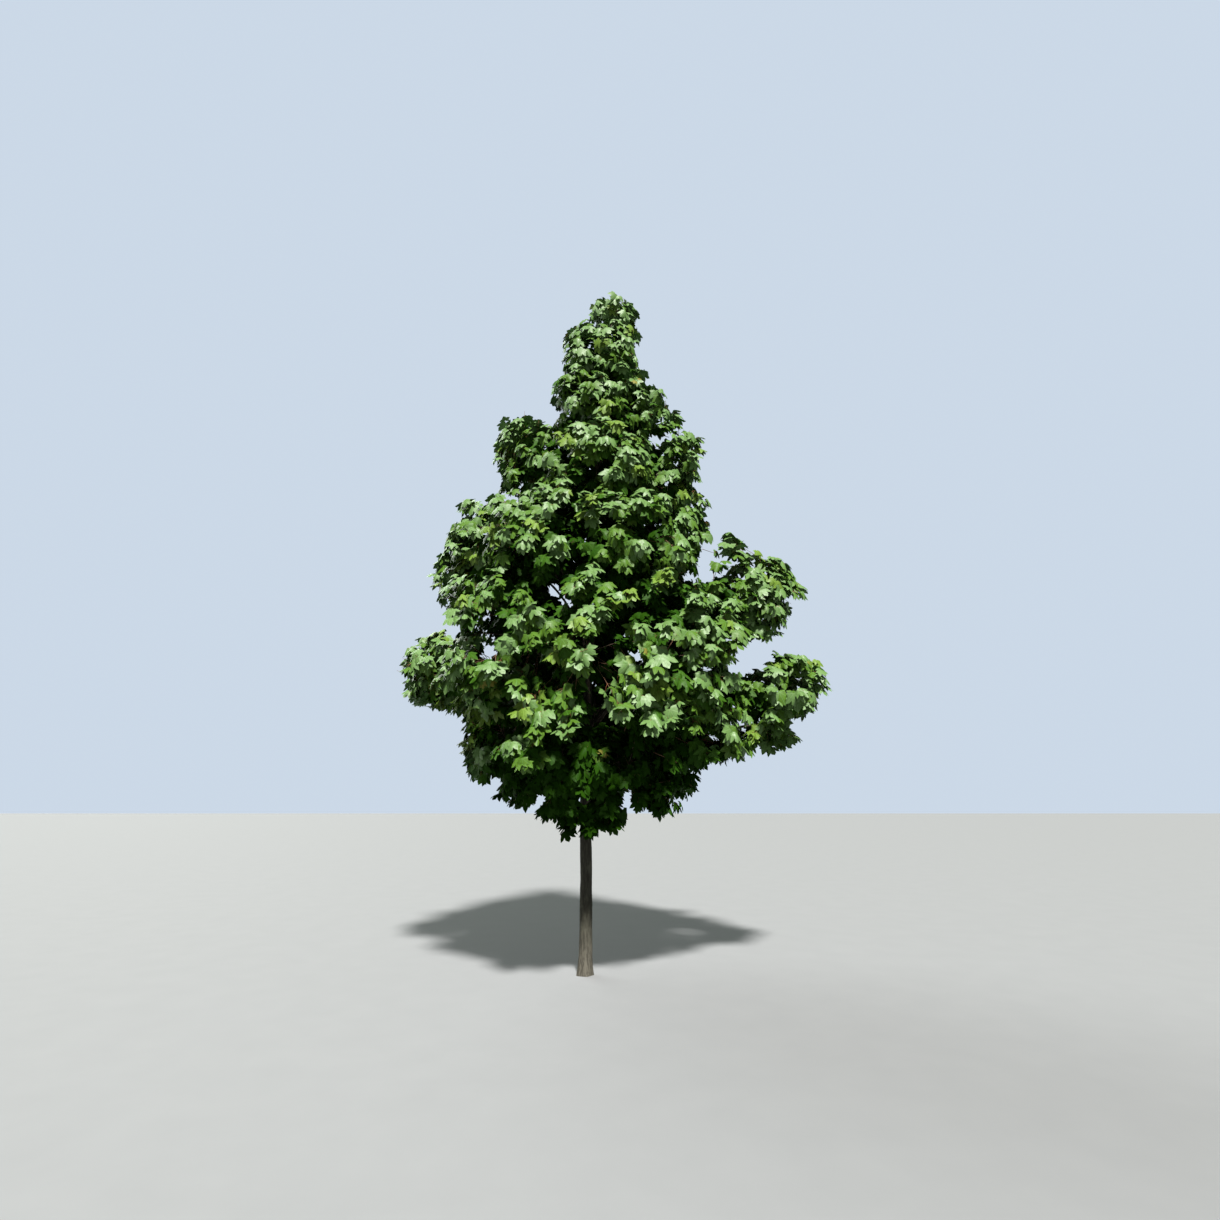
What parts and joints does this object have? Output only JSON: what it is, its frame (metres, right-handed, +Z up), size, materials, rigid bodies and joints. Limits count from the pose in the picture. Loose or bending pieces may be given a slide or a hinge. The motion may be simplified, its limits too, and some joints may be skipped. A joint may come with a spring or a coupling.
{
  "type": "maple tree",
  "caption": "Young maple tree with a straight trunk, ascending boughs and a dense pointed crown of drooping lobed leaves, rooted in the ground.",
  "frame": {"origin": "middle of the flat cut under the trunk, at ground level", "axes": "+Z up along the trunk, +X to the right and +Y away from a viewer who faces the side with the two right-hand arms on their right"},
  "size_m": [4.5574, 4.0473, 7.6982],
  "materials": {
    "bark": "rough bark",
    "foliage": "satin leaves"
  },
  "bodies": {
    "root": {"trunk": "bark", "bough_upper_left": "bark", "bough_upper_right": "bark", "bough_middle_left": "bark", "bough_middle_right": "bark", "bough_middle_front_left": "bark", "bough_middle_front_right": "bark", "bough_middle_back_right": "bark", "bough_middle_back_left": "bark", "bough_arm_right_upper": "bark", "bough_arm_left": "bark", "bough_low_front_left": "bark", "bough_low_front": "bark", "bough_low_front_right": "bark", "bough_low_back_right": "bark", "bough_low_back": "bark", "bough_low_back_left": "bark", "bough_arm_right_lower": "bark", "bough_skirt_right": "bark", "bough_skirt_left": "bark", "bough_skirt_front_left": "bark", "bough_skirt_front_right": "bark", "bough_skirt_back_right": "bark", "bough_skirt_back_left": "bark", "foliage_tip": "foliage", "foliage_top_left": "foliage", "foliage_top_front": "foliage", "foliage_top_back": "foliage", "foliage_high_left": "foliage", "foliage_high_right": "foliage", "foliage_high_front": "foliage", "foliage_high_back": "foliage", "foliage_upper_left": "foliage", "foliage_upper_right": "foliage", "foliage_upper_front": "foliage", "foliage_upper_back_left": "foliage", "foliage_upper_back_right": "foliage", "foliage_middle_left": "foliage", "foliage_middle_right": "foliage", "foliage_middle_front_left": "foliage", "foliage_middle_front_right": "foliage", "foliage_middle_back_right": "foliage", "foliage_middle_back_left": "foliage", "foliage_arm_right_upper": "foliage", "foliage_arm_left": "foliage", "foliage_low_front_left": "foliage", "foliage_low_front": "foliage", "foliage_low_front_right": "foliage", "foliage_low_back_right": "foliage", "foliage_low_back": "foliage", "foliage_low_back_left": "foliage", "foliage_arm_right_lower": "foliage", "foliage_skirt_right": "foliage", "foliage_skirt_left": "foliage", "foliage_skirt_front_left": "foliage", "foliage_skirt_front_right": "foliage", "foliage_skirt_back_right": "foliage", "foliage_skirt_back_left": "foliage"}
  },
  "joints": []
}
